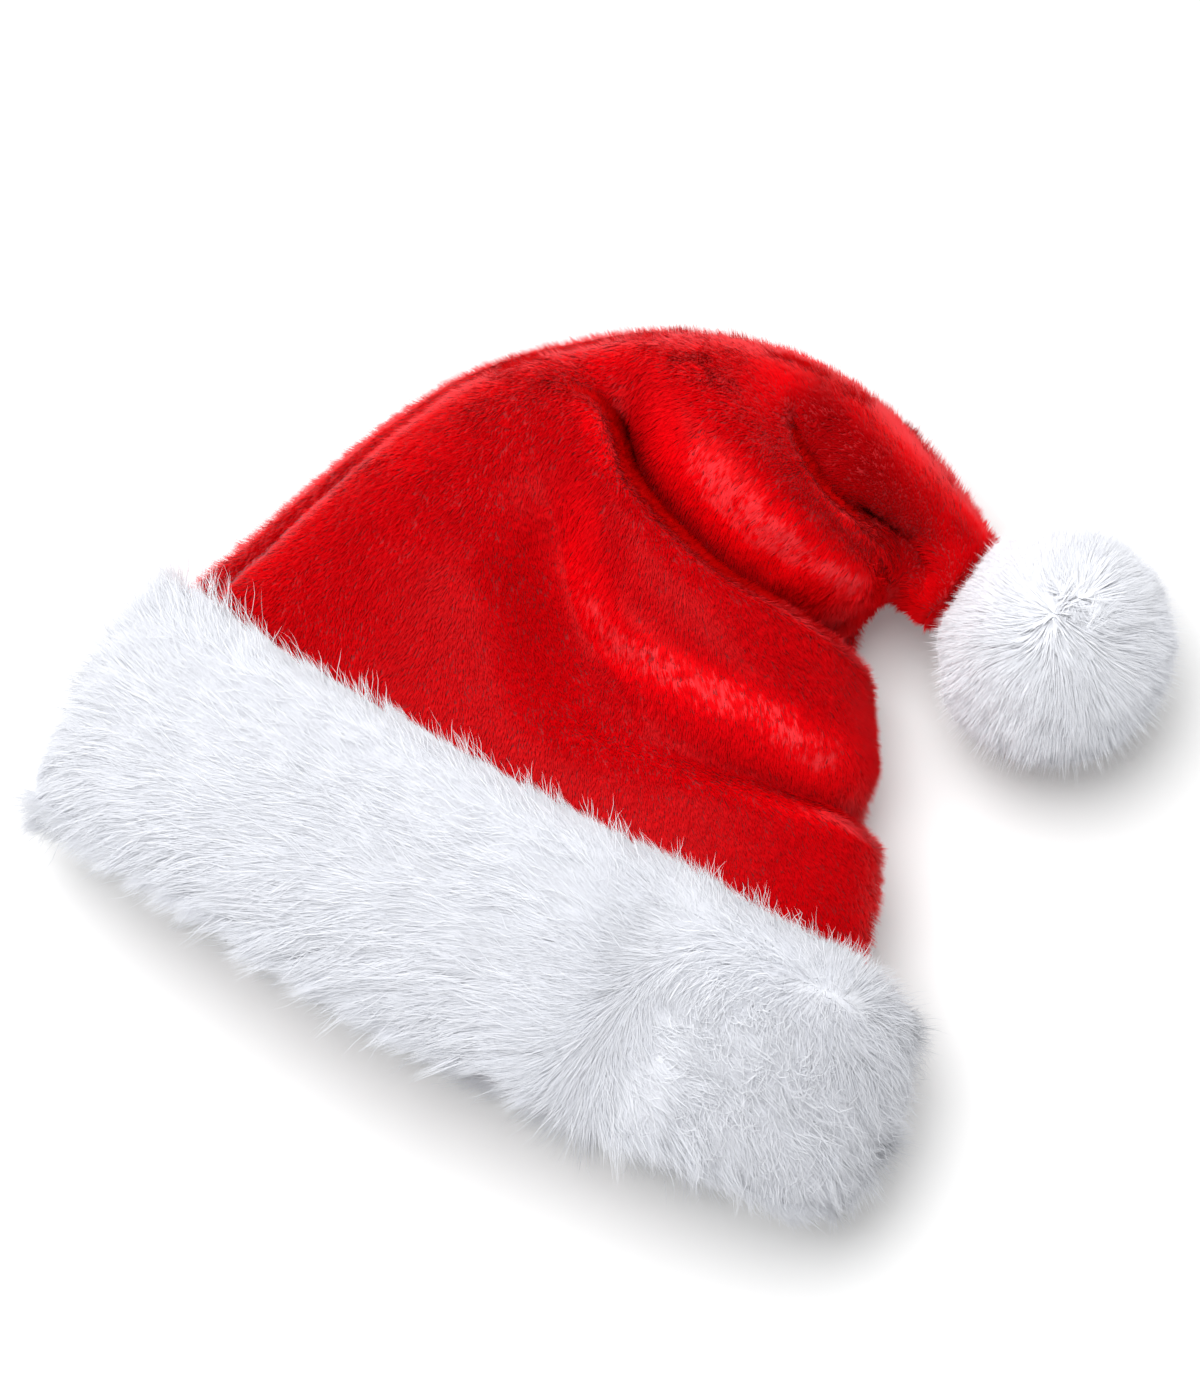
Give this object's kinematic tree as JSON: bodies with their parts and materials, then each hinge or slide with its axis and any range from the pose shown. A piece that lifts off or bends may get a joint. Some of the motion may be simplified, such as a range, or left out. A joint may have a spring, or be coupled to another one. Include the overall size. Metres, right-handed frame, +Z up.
{
  "type": "santa hat",
  "caption": "Red plush Santa hat lying on its back, with a deep white fur cuff round an open mouth, a folded-over tip and a white fur pompom.",
  "frame": {"origin": "on the surface that the hat lies on, under the middle of its bounding box", "axes": "+X along the cuff, towards the side on which the pompom lies; +Y from the mouth to the crown's top; +Z up, out of the crown's upper panel"},
  "size_m": [0.3278, 0.2744, 0.1012],
  "materials": {
    "red_plush_front": "short dense red plush pile with a soft sheen",
    "red_plush_rear": "short dense red plush pile, pressed where it lies",
    "white_cuff_fur": "long white faux fur in leaning locks",
    "white_pompom_fur": "fine white faux fur standing out all round"
  },
  "bodies": {
    "root": {"crown_front": "red_plush_front", "crown_rear": "red_plush_rear", "fur_cuff": "white_cuff_fur", "pompom": "white_pompom_fur"}
  },
  "joints": []
}
